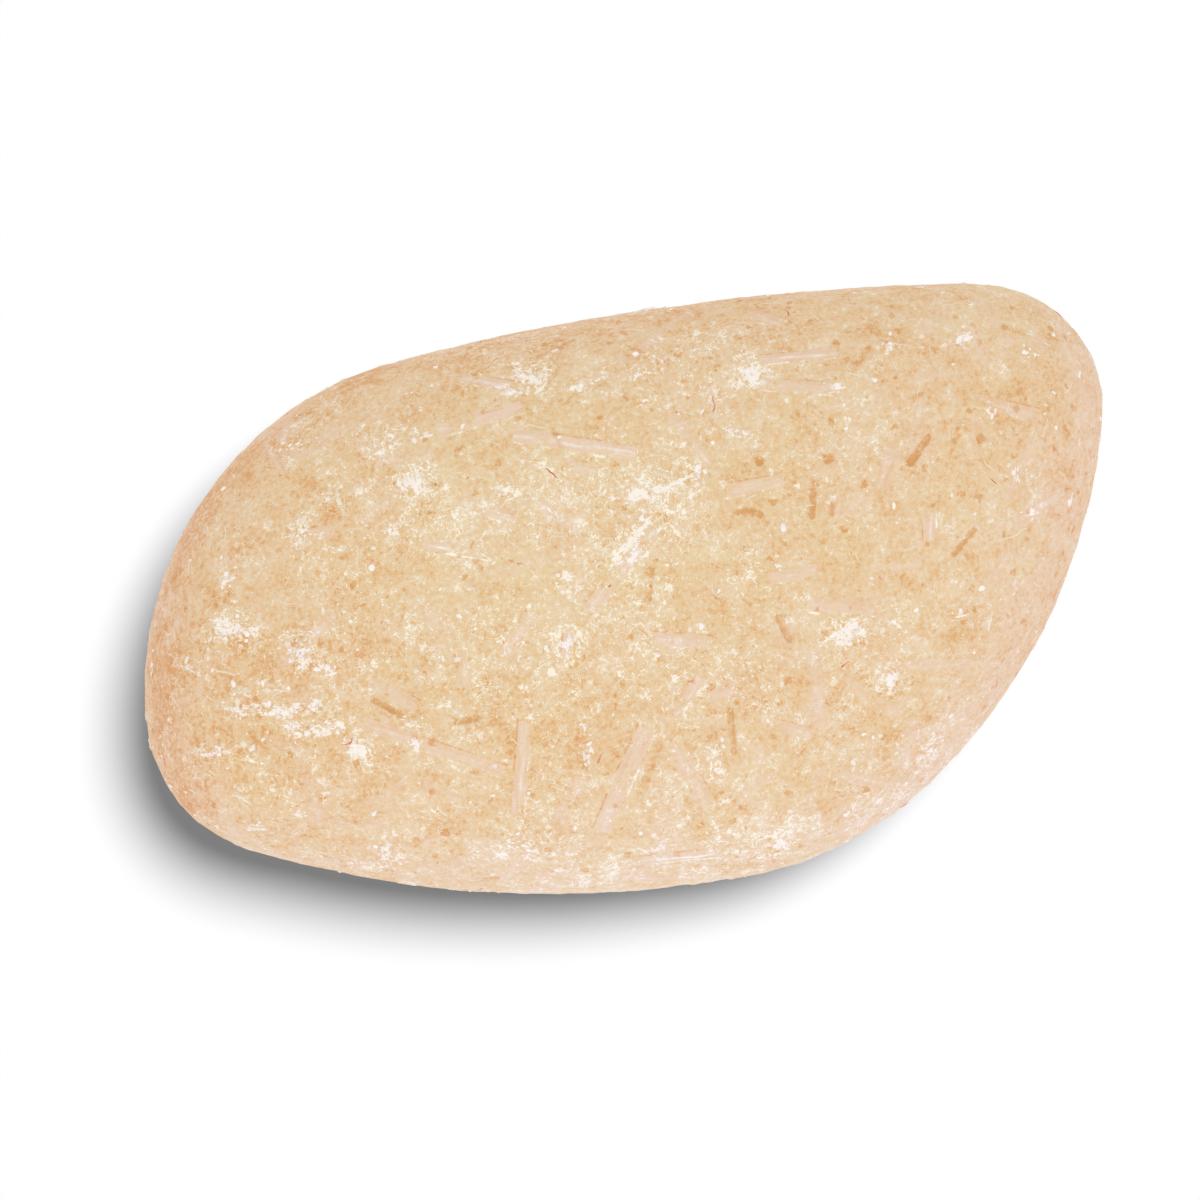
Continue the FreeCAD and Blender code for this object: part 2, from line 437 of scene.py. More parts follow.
def store(t, geometry, name, value, kind="FLOAT"):
    """The geometry with a value stored on its points."""
    wires = {"Geometry": geometry, "Name": name, "Value": value}
    return t.out("GeometryNodeStoreNamedAttribute", wires, data_type=kind, domain="POINT")


def stored(t, name):
    """A value that is stored on the points."""
    return t.out("GeometryNodeInputNamedAttribute", {"Name": name}, data_type="FLOAT")


def between(t, low, high, seed):
    """A random number for each point."""
    return t.out("FunctionNodeRandomValue", {"Min": low, "Max": high, "Seed": seed}, data_type="FLOAT")


def spun(t, rotation, most, seed):
    """The rotation turned on about its own upright, by a random angle."""
    spin = {"Axis": (0, 0, 1), "Angle": between(t, 0.0, most, seed)}
    turned = {"Rotation": rotation, "Rotate By": t.out("FunctionNodeAxisAngleToRotation", spin)}
    return t.out("FunctionNodeRotateRotation", turned, rotation_space="LOCAL")


def seated(t, geometry, surface):
    """The geometry with each of its points moved to the nearest place of a surface."""
    nearest = t.out("GeometryNodeProximity", {"Geometry": surface}, "Position", target_element="FACES")
    return t.moved(geometry, nearest)


def above_floor(t, geometry):
    """The geometry with nothing of it below the floor."""
    lowest = (-1.0, -1.0, 0.0)  # a metre away to the side, so that only the height is held
    return t.moved(geometry, t.vector_math("MAXIMUM", t.out("GeometryNodeInputPosition"), lowest))


def finished(t, geometry, finish):
    """Ends a tree: smooth, above the floor, its instances made real and its material set."""
    geometry = t.out("GeometryNodeSetShadeSmooth", {"Geometry": above_floor(t, geometry)})
    geometry = t.out("GeometryNodeRealizeInstances", {"Geometry": geometry})
    geometry = t.out("GeometryNodeSetMaterial", {"Geometry": geometry, "Material": finish})
    t.gives("Geometry", "Geometry", geometry)
    return t.tree


def mark_lines_tree():
    """The lines that marks follow along the skin: chosen ones on the crown and scattered ones elsewhere."""
    t = Tree("Mark Lines", "GeometryNodeTree")
    skin, chosen = t.takes_each("Geometry", "Skin", "Chosen")
    spacing, clearance, *limits = t.takes_each("Float", *MARK_LIMITS)
    lengths, breadths, strengths = limits[:2], limits[2:4], limits[4:]
    seed = t.takes("Seed", "Int")
    place = t.out("GeometryNodeInputPosition")

    fall = {"Target Geometry": skin, "Source Position": place, "Ray Direction": (0, 0, -1),
            "Ray Length": 1.0}
    chosen = t.moved(chosen, t.out("GeometryNodeRaycast", fall, "Hit Position"))

    scatter = {"Mesh": skin, "Distance Min": spacing, "Density Max": MARK_CROWD, "Seed": seed}
    scatter = t.add("GeometryNodeDistributePointsOnFaces", scatter, distribute_method="POISSON")
    gap = t.out("GeometryNodeProximity", {"Geometry": chosen}, "Distance", target_element="EDGES")
    crowded = {"A": gap, "B": clearance}
    crowded = t.out("FunctionNodeCompare", crowded, data_type="FLOAT", operation="LESS_THAN")
    points = {"Geometry": scatter.outputs["Points"], "Selection": crowded}
    points = t.out("GeometryNodeDeleteGeometry", points, domain="POINT")
    points = store(t, points, "half_length", t.times(between(t, *lengths, seed), 0.5))
    points = store(t, points, "half_breadth", t.times(between(t, *breadths, t.plus(seed, 1)), 0.5))
    points = store(t, points, "strength", between(t, *strengths, t.plus(seed, 2)))

    line = {"Count": MARK_STEPS + 1, "Start Location": (-1, 0, 0), "Offset": (2 / MARK_STEPS, 0, 0)}
    line = t.out("GeometryNodeMeshLine", line)
    line = store(t, line, "share", t.along("X", place))
    scale = t.out("ShaderNodeCombineXYZ", {"X": stored(t, "half_length"), "Y": 1.0, "Z": 1.0})
    laid = {"Points": points, "Instance": line, "Scale": scale,
            "Rotation": spun(t, scatter.outputs["Rotation"], math.pi, t.plus(seed, 3))}
    laid = t.out("GeometryNodeInstanceOnPoints", laid)
    laid = t.out("GeometryNodeRealizeInstances", {"Geometry": laid})

    both = t.add("GeometryNodeJoinGeometry")
    for lines in (chosen, seated(t, laid, skin)):
        t.links.new(lines, both.inputs[0])
    t.gives("Lines", "Geometry", both.outputs[0])
    return t.tree


def mark_measure_tree():
    """Where each place lies by its nearest mark: how far outside its edge, and how far along and across."""
    t = Tree("Mark Measure", "GeometryNodeTree")
    lines = t.takes("Lines", "Geometry")
    rounding = t.takes("Corner Rounding", "Float")
    place = t.out("GeometryNodeInputPosition")
    nearest = {"Geometry": lines, "Sample Position": place}
    nearest = t.out("GeometryNodeSampleNearest", nearest, domain="EDGE")
    edge = t.add("GeometryNodeInputMeshEdgeVertices")

    def taken(value, index, kind="FLOAT", domain="POINT"):
        wires = {"Geometry": lines, "Value": value, "Index": index}
        return t.out("GeometryNodeSampleIndex", wires, data_type=kind, domain=domain)

    first = taken(edge.outputs["Position 1"], nearest, "FLOAT_VECTOR", "EDGE")
    second = taken(edge.outputs["Position 2"], nearest, "FLOAT_VECTOR", "EDGE")
    ends = [taken(edge.outputs[f"Vertex Index {end}"], nearest, "INT", "EDGE") for end in (1, 2)]
    shares = [taken(stored(t, "share"), end) for end in ends]
    half_length = taken(stored(t, "half_length"), ends[0])
    half_breadth = taken(stored(t, "half_breadth"), ends[0])

    run = t.vector_math("SUBTRACT", second, first)
    offset = t.vector_math("SUBTRACT", place, first)
    reach = t.math("DIVIDE", t.dot(offset, run), t.dot(run, run))
    share = t.scaled(t.minus(shares[1], shares[0]), reach, shares[0])
    foot = t.vector_math("MULTIPLY_ADD", run, reach, first)
    across = t.out("ShaderNodeVectorMath", {0: place, 1: foot}, operation="DISTANCE")
    side = t.vector_math("CROSS_PRODUCT", run, offset)
    side = t.math("SIGN", t.dot(side, t.out("GeometryNodeInputNormal")))
    corner = t.math("MINIMUM", rounding, half_breadth)
    past_side = t.plus(t.minus(across, half_breadth), corner)
    past_end = t.times(t.minus(t.math("ABSOLUTE", share), 1.0), half_length)
    past_end = t.plus(past_end, corner)
    past = t.out("ShaderNodeCombineXYZ", {"X": t.math("MAXIMUM", past_side, 0.0),
                                          "Y": t.math("MAXIMUM", past_end, 0.0)})
    past = t.plus(t.length(past), t.math("MINIMUM", t.math("MAXIMUM", past_side, past_end), 0.0))
    t.gives("Outside", "Float", t.minus(past, corner))
    t.gives("Along", "Float", t.times(share, half_length))
    t.gives("Across", "Float", t.times(across, side))
    t.gives("Breadth", "Float", t.times(half_breadth, 2.0))
    t.gives("Strength", "Float", taken(stored(t, "strength"), ends[0]))
    return t.tree


def relief_tree():
    """How far each place of the skin stands out: slow waves, small lumps, noodles, grooves and flakes."""
    t = Tree("Pressed Relief", "GeometryNodeTree")
    depths = {name: t.takes(name, "Float") for name in RELIEFS}
    place = t.in_mm(t.out("GeometryNodeInputPosition"))

    def swell(depth, scale, detail):
        return t.times(t.scaled(t.noise(place, scale, detail), 2.0, -1.0), depth)

    def raised(kind, depth, start, full):
        """A mark's height, from where it starts to where it is full, in millimetres outside its edge."""
        height = t.remap(stored(t, f"{kind}_outside"), start, full)
        return t.times(t.times(height, stored(t, f"{kind}_strength")), depth)

    waves = swell(depths["Wave"], scale=0.11, detail=1.0)
    lumps = swell(depths["Lump"], scale=0.6, detail=3.0)
    noodle = raised("noodle", depths["Noodle"], start=0.1, full=-0.35)
    lip = raised("groove", t.times(depths["Groove"], LIP_SHARE), start=0.9, full=0.1)
    groove = raised("groove", depths["Groove"], start=0.15, full=-0.3)
    crumbled = t.remap(t.noise(place, scale=1.4, detail=3.0, roughness=0.7), 0.42, 0.58)
    flake = t.times(raised("flake", depths["Flake"], start=0.5, full=-0.6), crumbled)
    total = t.minus(waves, groove)
    for part in (lumps, noodle, lip, flake):
        total = t.plus(total, part)
    t.gives("Rise", "Float", total)
    return t.tree


def pressed_bar_tree():
    """The whole bar: its grid, its marks measured and stored, and its relief pressed in."""
    t = modifier_tree("Pressed Bar")
    solid = t.takes("Solid", "Object")
    finish = t.takes("Finish", "Material")
    middle, half_size = t.takes_each("Vector", "Middle", "Half Size")
    cells = {f"Cells {axis}": t.takes(f"Cells {axis}", "Int", 8) for axis in "XYZ"}
    rounds = t.takes("Easing Rounds", "Int", 1)
    depths = {name: t.takes(f"{name} Depth", "Float") for name in RELIEFS}

    shape = {"Solid": mesh_of(t, solid), "Middle": middle, "Half Size": half_size, "Easing Rounds": rounds}
    grid = t.group(skin_grid_tree(), shape | cells).outputs["Grid"]
    normal = t.out("GeometryNodeInputNormal")
    skin = store(t, grid, "lean", normal, kind="FLOAT_VECTOR")
    lines_tree, measure_tree = mark_lines_tree(), mark_measure_tree()
    for kind in ("noodle", "groove", "flake"):
        title = kind.capitalize()
        wires = {"Skin": grid, "Chosen": mesh_of(t, t.takes(f"{title} Marks", "Object"))}
        for limit in MARK_LIMITS:
            wires[limit] = t.takes(f"{title} {limit}", "Float")
        wires["Seed"] = t.takes(f"{title} Seed", "Int")
        lines = t.group(lines_tree, wires).outputs["Lines"]
        rounding = t.takes(f"{title} Corner Rounding", "Float")
        measured = t.group(measure_tree, {"Lines": lines, "Corner Rounding": rounding}).outputs
        for name in ("Outside", "Along", "Across", "Breadth"):
            skin = store(t, skin, f"{kind}_{name.lower()}", t.math("DIVIDE", measured[name], MM))
        skin = store(t, skin, f"{kind}_strength", measured["Strength"])

    rise = t.group(relief_tree(), depths).outputs["Rise"]
    skin = t.shifted(skin, t.vector_math("SCALE", normal, scale=rise))
    return finished(t, skin, finish)


def crumbs_tree():
    """Crumbs half sunk in a skin: crowded on its flakes and thin elsewhere."""
    t = modifier_tree("Pressed Crumbs")
    skin = mesh_of(t, t.takes("Skin", "Object"))
    finish = t.takes("Finish", "Material")
    floats = ("Spacing", "Smallest", "Largest", "Flatness", "Sparse Share")
    spacing, smallest, largest, flatness, sparse = t.takes_each("Float", *floats)
    seed = t.takes("Seed", "Int")
    place = t.out("GeometryNodeInputPosition")
    place_mm = t.in_mm(place)

    crowding = t.times(t.remap(stored(t, "flake_outside"), 0.8, -0.2), stored(t, "flake_strength"))
    patchy = t.remap(t.noise(place_mm, scale=0.2, detail=2.0), 0.4, 0.7, to_low=0.2)
    crowding = t.math("MAXIMUM", crowding, t.times(patchy, sparse))
    lifted = t.math("GREATER_THAN", t.along("Z", place), CRUMB_FREE * MM)
    crowding = t.times(crowding, lifted)
    scatter = {"Mesh": skin, "Distance Min": spacing, "Density Max": CRUMB_CROWD,
               "Density Factor": crowding, "Seed": seed}
    scatter = t.add("GeometryNodeDistributePointsOnFaces", scatter, distribute_method="POISSON")
    mostly_small = t.math("POWER", between(t, 0.0, 1.0, seed), 2.5)
    points = store(t, scatter.outputs["Points"], "size", t.mix(mostly_small, smallest, largest))
    points = store(t, points, "tone", between(t, 0.0, 1.0, t.plus(seed, 1)))

    cube = {"Size": (1, 1, 1), "Vertices X": 3, "Vertices Y": 3, "Vertices Z": 3}
    ball = t.vector_math("SCALE", t.vector_math("NORMALIZE", place), scale=0.5)
    crumb = t.moved(t.out("GeometryNodeMeshCube", cube, "Mesh"), ball)
    longer = between(t, 1.0, 2.0, t.plus(seed, 3))
    scale = t.out("ShaderNodeCombineXYZ", {"X": longer, "Y": 1.0, "Z": flatness})
    scale = t.vector_math("SCALE", scale, scale=stored(t, "size"))
    crumbs = {"Points": points, "Instance": crumb, "Scale": scale,
              "Rotation": spun(t, scatter.outputs["Rotation"], math.tau, t.plus(seed, 2))}
    crumbs = t.out("GeometryNodeInstanceOnPoints", crumbs)
    crumbs = t.out("GeometryNodeRealizeInstances", {"Geometry": crumbs})
    ragged = t.wander(place_mm, scale=2.5, detail=1.0, reach=t.times(stored(t, "size"), 1.2))
    return finished(t, t.shifted(crumbs, ragged), finish)


def slivers_tree():
    """Thin slivers that curl along a skin and taper to their ends, chosen and scattered."""
    t = modifier_tree("Laid Slivers")
    skin, chosen = (mesh_of(t, piece) for piece in t.takes_each("Object", "Skin", "Marks"))
    finish = t.takes("Finish", "Material")
    wires = {limit: t.takes(limit, "Float") for limit in MARK_LIMITS}
    wires["Seed"] = t.takes("Seed", "Int")
    curl = t.takes("Curl", "Float")
    lines = t.group(mark_lines_tree(), {"Skin": skin, "Chosen": chosen, **wires}).outputs["Lines"]

    bend = t.wander(t.in_mm(t.out("GeometryNodeInputPosition")), scale=0.8, detail=1.0, reach=curl)
    lines = seated(t, t.shifted(lines, bend), skin)
    share = stored(t, "share")
    taper = t.math("SQRT", t.scaled(t.times(share, share), -SLIVER_TAPER, 1.0))
    radius = t.times(taper, stored(t, "half_breadth"))
    ring = t.out("GeometryNodeCurvePrimitiveCircle", {"Resolution": 4, "Radius": 1.0}, "Curve")
    slivers = {"Curve": t.out("GeometryNodeMeshToCurve", {"Mesh": lines}), "Profile Curve": ring,
               "Scale": radius, "Fill Caps": True}
    return finished(t, t.out("GeometryNodeCurveToMesh", slivers), finish)


# ---------------------------------------------------------------- shader groups

def grain_group():
    """Compacted grain: a value about 0 that varies from patch to patch, lump to lump and grain to grain."""
    t = Tree("Compacted Grain", "ShaderNodeTree")
    place = t.takes("Place", "Vector")
    total = None
    for name, scale, detail in (("Patches", 0.16, 1.0), ("Lumps", 0.55, 2.0), ("Grains", 2.5, 3.0)):
        amount = t.takes(name, "Float", 1.0)
        part = t.times(t.minus(t.noise(place, scale, detail, roughness=0.7), 0.5), amount)
        total = part if total is None else t.plus(total, part)
    t.gives("Paleness", "Float", total)
    return t.tree


def threads_and_glints_group():
    """Torn threads: fine pale lines that curl round the grains, in patches, each beside a dark gap."""
    t = Tree("Torn Threads", "ShaderNodeTree")
    place = t.takes("Place", "Vector")
    scale = t.takes("Scale", "Float", 1.0)
    width = t.takes("Width", "Float", 0.02)
    cover = t.takes("Cover", "Float", 0.5)
    side = t.minus(t.noise(place, scale, detail=2.0, roughness=0.55, distortion=0.8), 0.5)
    line = t.remap(t.math("ABSOLUTE", side), width, 0.0)
    # The dark gap beside each line is a painted shadow.
    gap = t.remap(t.math("ABSOLUTE", t.scaled(width, 2.0, side)), width, 0.0)
    patch = t.noise(place, t.times(scale, 0.8), detail=2.0, roughness=0.6)
    bare = t.minus(1.0, cover)
    patch = t.remap(patch, bare, t.plus(bare, 0.08))
    t.gives("Mask", "Float", t.times(t.scaled(gap, -0.5, line), patch))
    return t.tree


def specks_group():
    """Specks: ragged dots of mixed size, one in some of the cells."""
    t = Tree("Ragged Specks", "ShaderNodeTree")
    place = t.takes("Place", "Vector")
    scale = t.takes("Scale", "Float", 1.0)
    radius = t.takes("Radius", "Float", 0.3)
    share = t.takes("Share", "Float", 0.3)
    reach = t.math("DIVIDE", 0.7, scale)
    ragged = t.wander(place, t.times(scale, 2.5), detail=2.0, reach=reach, roughness=0.6)
    cells = t.add("ShaderNodeTexVoronoi", {"Vector": t.vector_math("ADD", place, ragged), "Scale": scale})
    lot = t.out("ShaderNodeSeparateColor", {0: cells.outputs["Color"]}, "Red")
    kept = t.remap(lot, t.minus(1.0, share), 1.0, smooth=False)
    edge = t.minus(t.times(radius, t.math("SQRT", kept)), cells.outputs["Distance"])
    t.gives("Mask", "Float", t.remap(edge, 0.0, 0.08))
    return t.tree


def palette_group():
    """The bar's colours: from deep tan through biscuit to flake white, leaning to yellow or to pink."""
    t = Tree("Biscuit Palette", "ShaderNodeTree")
    paleness = t.takes("Paleness", "Float", 0.5)
    pinkness = t.takes("Pinkness", "Float", 0.4)
    steps = [(at, t.takes(name, "Color")) for name, at in PALETTE.items()]
    colour = steps[0][1]
    for (low, _), (high, paler) in zip(steps, steps[1:]):
        colour = t.mix(t.remap(paleness, low, high, smooth=False), colour, paler, "RGBA")
    tint = t.mix(pinkness, t.takes("Yellow Tint", "Color"), t.takes("Pink Tint", "Color"), "RGBA")
    t.gives("Colour", "Color", t.mix(1.0, colour, tint, "RGBA", "MULTIPLY"))
    return t.tree


def shared(maker, name):
    """A shader group, built the first time it is asked for."""
    return bpy.data.node_groups.get(name) or maker()


class Finish:
    """A material being built, with the shared groups at hand. Noise scales are per millimetre."""

    def __init__(self, name, look):
        old = bpy.data.materials.get(name)
        if old:
            bpy.data.materials.remove(old)
        self.look = look
        self.material = bpy.data.materials.new(name)
        self.t = Tree.of_material(self.material)
        where = self.t.out("ShaderNodeTexCoord", output="Object")
        self.place = self.t.in_mm(where)

    def attribute(self, name, output="Fac"):
        return self.t.out("ShaderNodeAttribute", output=output, attribute_name=name)

    def spread(self, scale, detail, roughness=0.5, place=None):
        """Noise about 0."""
        noise = self.t.noise(place or self.place, scale, detail, roughness)
        return self.t.minus(noise, 0.5)

    def torn_edge(self, kind, noise, tear, start, full):
        """A mark's mask, from where it starts to where it is full, in millimetres outside its torn edge."""
        return self.t.remap(self.t.scaled(noise, tear, self.attribute(f"{kind}_outside")), start, full)

    def along_mark(self, kind, along, across, own):
        """Noise coordinates that follow a mark, with the third one its own."""
        wires = {"X": self.t.times(self.attribute(f"{kind}_along"), along), "Y": across, "Z": own}
        return self.t.out("ShaderNodeCombineXYZ", wires)

    def grain(self, patches, lumps, grains):
        wires = {"Place": self.place, "Patches": patches, "Lumps": lumps, "Grains": grains}
        return self.t.group(shared(grain_group, "Compacted Grain"), wires).outputs[0]

    def threads(self, scale, width, cover):
        wires = {"Place": self.place, "Scale": scale, "Width": width, "Cover": cover}
        return self.t.group(shared(threads_and_glints_group, "Torn Threads"), wires).outputs[0]

    def specks(self, scale, radius, share):
        wires = {"Place": self.place, "Scale": scale, "Radius": radius, "Share": share}
        return self.t.group(shared(specks_group, "Ragged Specks"), wires).outputs[0]

    def colour(self, paleness, pinkness):
        wires = {"Paleness": paleness, "Pinkness": pinkness}
        for name in (*PALETTE, "Yellow Tint", "Pink Tint"):
            wires[name] = (*getattr(self.look, name.lower().replace(" ", "_")), 1.0)
        return self.t.group(shared(palette_group, "Biscuit Palette"), wires).outputs[0]

    def shade(self, colour, roughness, height, relief):
        """The surface, with a bump: the relief is how many millimetres a height of 1 stands for."""
        bump = {"Strength": 1.0, "Distance": relief * MM, "Height": height}
        bump = self.t.out("ShaderNodeBump", bump)
        shader = {"Base Color": colour, "Roughness": roughness, "Normal": bump, "IOR": 1.45,
                  "Specular IOR Level": 0.3}
        shader = self.t.out("ShaderNodeBsdfPrincipled", shader)
        self.t.add("ShaderNodeOutputMaterial", {"Surface": shader})
        return self.material


def noodle_masks(f, ragged, drift, steep):
    """Where a noodle shows, how pale its inside is, and the dark crease and pale hem along its sides."""
    t = f.t
    strength = f.attribute("noodle_strength")
    half_breadth = t.times(f.attribute("noodle_breadth"), 0.5)
    across = t.math("DIVIDE", f.attribute("noodle_across"), half_breadth)  # 1 and -1 at its sides
    bare = t.remap(t.scaled(ragged, 0.25, drift), 0.33, 0.46)  # grains that cling to it hide the rest
    shown = t.times(bare, t.times(strength, t.plus(steep, 1.15), clamp=True))  # more of it on steep skin
    noodle = t.times(f.torn_edge("noodle", ragged, tear=0.7, start=0.06, full=-0.1), shown)

    streaks = f.along_mark("noodle", 0.4, t.times(across, 1.6), own=t.times(strength, OWN_STREAKS))
    streaks = f.spread(scale=1.0, detail=2.0, place=streaks)
    # A painted highlight along the noodle's middle, as on a lit round top.
    middle_highlight = t.remap(t.math("ABSOLUTE", t.plus(across, 0.15)), 0.6, 0.0)
    inside_and_highlight = t.scaled(streaks, 0.9, t.scaled(middle_highlight, 0.17, 0.09))

    by_side = t.remap(f.attribute("noodle_outside"), 0.25, 0.15)
    by_side = t.times(by_side, t.remap(strength, 0.3, 0.8))

    def side_line(middle, half_width, start, full):
        """A line along the noodle, this far across, where the drift lets it show."""
        line = t.remap(t.math("ABSOLUTE", t.minus(across, middle)), half_width, 0.04)
        return t.times(t.times(line, t.remap(drift, start, full)), by_side)

    # Painted shade along one side of the noodle, where the drift lets it show.
    side_shade = side_line(1.0, half_width=0.2, start=0.48, full=0.54)
    hem = side_line(-1.1, half_width=0.25, start=0.5, full=0.44)
    return noodle, inside_and_highlight, side_shade, hem


def groove_shade_mask(f, ragged):
    """Where a groove shows, deeper in colour on its shady side."""
    t = f.t
    painted_shadow_side = t.remap(t.scaled(ragged, 0.6, f.attribute("groove_across")), 0.3, -0.25, to_low=0.6)
    groove = f.torn_edge("groove", ragged, tear=0.36, start=0.04, full=-0.14)
    return t.times(t.times(groove, f.attribute("groove_strength")), painted_shadow_side)


def flake_masks(f, ragged, grain):
    """Where a torn flake shows, and how near to one a place is."""
    t = f.t
    outside, strength = f.attribute("flake_outside"), f.attribute("flake_strength")
    near = t.times(t.remap(outside, 2.0, -0.2), strength)
    near = t.times(near, t.remap(f.attribute("flake_breadth"), 0.8, 1.4))  # small flakes shed little

    shreds = f.along_mark("flake", 0.45, t.times(f.attribute("flake_across"), 1.8), own=strength)
    shreds = t.times(f.spread(scale=0.9, detail=4.0, roughness=0.7, place=shreds), 8.0)
    edge = t.plus(shreds, t.scaled(ragged, 2.5, outside))
    edge = t.plus(edge, t.minus(1.2, strength))  # a faint flake keeps only a few shreds
    flake = t.remap(edge, 0.1, -0.25)
    flake = t.times(flake, t.remap(grain, -0.25, -0.08))  # it has gaps where the grain is darkest
    heart = f.torn_edge("flake", ragged, tear=1.1, start=0.05, full=-0.15)
    heart = t.times(heart, t.remap(strength, 0.9, 1.0))  # only the strongest are whole in the middle
    return t.math("MAXIMUM", flake, heart), near


def thread_and_glint_masks(f, look, near, noodle, east):
    """Where torn threads and specks crowd, and how much paler they make the skin there."""
    t = f.t
    torn = f.threads(scale=0.8, width=t.scaled(near, 0.035, 0.03), cover=t.scaled(near, 0.14, 0.52))
    frayed = f.threads(scale=2.2, width=t.scaled(near, 0.04, 0.045), cover=t.scaled(near, 0.1, 0.54))
    # The pale specks are partly the bar's own flecks and partly painted glints on tiny bumps.
    flecks_and_glints = f.specks(scale=0.7, radius=0.34, share=0.4)
    motes_and_glints = f.specks(scale=2.4, radius=0.26, share=0.5)
    threads = t.scaled(frayed, look.frayed_contrast, t.times(torn, look.torn_contrast))
    threads = t.scaled(flecks_and_glints, look.fleck_contrast, threads)
    threads = t.scaled(motes_and_glints, look.mote_contrast, threads)

    bustle = t.remap(t.noise(f.place, scale=0.13, detail=2.0), 0.38, 0.6, to_low=0.5)
    bustle = t.times(bustle, t.remap(east, 8.0, 30.0, to_low=1.0, to_high=0.55))  # thinner to the nose
    bustle = t.times(t.math("MAXIMUM", bustle, near), t.scaled(noodle, -0.85, 1.0))
    return bustle, threads


def deep_mask(t, sides, east):
    """How deep the tan of the heel, the back and the west end is."""
    deep = t.times(t.remap(east, *WEST_END), DEEP_PARTS["west"])
    deep = t.scaled(sides["heel"], DEEP_PARTS["heel"], deep)
    deep = t.scaled(sides["back"], DEEP_PARTS["back"], deep)
    left = t.remap(sides["under"], 0.0, 1.0, to_low=1.0, to_high=UNDERSIDE_SHARE)
    return t.times(t.math("MINIMUM", deep, DEEPEST), left)


def crown_mask(t, place):
    """The paler top of the crown, an oval that fades outwards."""
    (x, y), (along, across) = CROWN_MIDDLE, CROWN_REACH
    shares, start = (1 / along, 1 / across, 0.0), (-x / along, -y / across, 0.0)
    oval = t.vector_math("MULTIPLY_ADD", place, shares, start)
    return t.remap(t.length(oval), 1.0, 0.2)


def skin_finish(look):
    """Compacted biscuit grain with noodles, grooves, flakes, specks and pits, deeper along the back."""
    f = Finish("Pressed Noodle Finish", look)
    t, place = f.t, f.place
    grain = f.grain(look.patch_contrast, look.lump_contrast, look.grain_contrast)
    ragged = f.spread(scale=1.5, detail=3.0, roughness=0.7)
    drift = t.noise(place, scale=0.45, detail=2.0)
    east = t.along("X", place)
    lean = f.attribute("lean", "Vector")
    steep = t.remap(t.along("Z", lean), 0.35, 0.0)

    masks = {name: t.remap(t.dot(lean, toward), low, high) for name, (toward, low, high) in SIDES.items()}
    noodle, inside_and_highlight, side_shade, hem = noodle_masks(f, ragged, drift, steep)
    flake, near = flake_masks(f, ragged, grain)
    bustle, threads = thread_and_glint_masks(f, look, near, noodle, east)
    # The pits are painted shade: dark specks where small pits would be, with no relief of their own.
    masks |= {"noodle": noodle, "side_shade": side_shade, "hem": hem, "flake": flake,
              "groove": groove_shade_mask(f, ragged), "pits": f.specks(scale=0.75, radius=0.32, share=0.4),
              "deep": deep_mask(t, masks, east), "crown": crown_mask(t, place)}

    paleness = t.scaled(grain, t.scaled(noodle, -0.75, 1.0), look.plain_paleness)
    paleness = t.scaled(bustle, threads, paleness)
    paleness = t.scaled(noodle, inside_and_highlight, paleness)
    for name, amount in PALENESS_ADDED.items():
        paleness = t.scaled(masks[name], amount, paleness)
    drawn_together = t.scaled(paleness, DARK_SHARE, DARK_KNEE * (1.0 - DARK_SHARE))
    pale = t.out("ShaderNodeClamp", {"Value": t.math("MAXIMUM", paleness, drawn_together)})

    pinkness = f.spread(scale=0.18, detail=2.0, roughness=0.6)
    pinkness = t.scaled(pinkness, 0.8, look.plain_pinkness)
    for name, amount in PINKNESS_ADDED.items():
        pinkness = t.scaled(masks[name], amount, pinkness)
    pink = t.out("ShaderNodeClamp", {"Value": pinkness})
    roughness = t.scaled(flake, 0.15, t.scaled(noodle, -0.1, 0.62))
    return f.shade(f.colour(pale, pink), roughness, grain, relief=0.1)


def fragment_finish(name, look, paleness, pinkness):
    """Crumbs and shavings: the bar's paler colours, each fragment with a tone of its own."""
    f = Finish(name, look)
    t = f.t
    tone = t.minus(f.attribute("tone"), 0.5)
    pale = t.plus(t.scaled(tone, 0.25, paleness), f.grain(patches=0.0, lumps=0.1, grains=0.3))
    pale = t.out("ShaderNodeClamp", {"Value": pale})
    pink = t.scaled(tone, 0.4, pinkness)
    return f.shade(f.colour(pale, pink), t.scaled(pale, 0.1, 0.6), pale, relief=0.05)


def fibre_finish(look):
    """Red fibre, darker and paler by turns along its length."""
    f = Finish("Red Fibre", look)
    t = f.t
    turns = t.noise(f.place, scale=1.5, detail=2.0)
    mixed = t.remap(t.scaled(f.attribute("share"), 0.1, turns), 0.35, 0.65)
    colour = t.mix(mixed, (*look.fibre_red, 1.0), (*look.fibre_pink, 1.0), "RGBA")
    return f.shade(colour, t.scaled(turns, 0.2, 0.4), turns, relief=0.02)


# ---------------------------------------------------------------- settings

def size(name, description, default):
    """A length in metres, from a default in millimetres."""
    return FloatProperty(name=name, description=description, default=default * MM, min=0.0, precision=5,
                         subtype="DISTANCE", unit="LENGTH")


def sizes(name, description, default):
    """A least and a greatest length in metres, from defaults in millimetres."""
    return FloatVectorProperty(name=name, description=description, default=[each * MM for each in default],
                               size=2, min=0.0, precision=5, subtype="NONE", unit="LENGTH")


def share(name, description, default, most=1.0):
    return FloatProperty(name=name, description=description, default=default, min=0.0, max=most,
                         subtype="FACTOR")


def angle(name, description, default):
    """An angle in radians, from a default in degrees."""
    return FloatProperty(name=name, description=description, default=math.radians(default),
                         subtype="ANGLE", unit="ROTATION")


def number(name, description, default, least=1):
    return IntProperty(name=name, description=description, default=default, min=least)


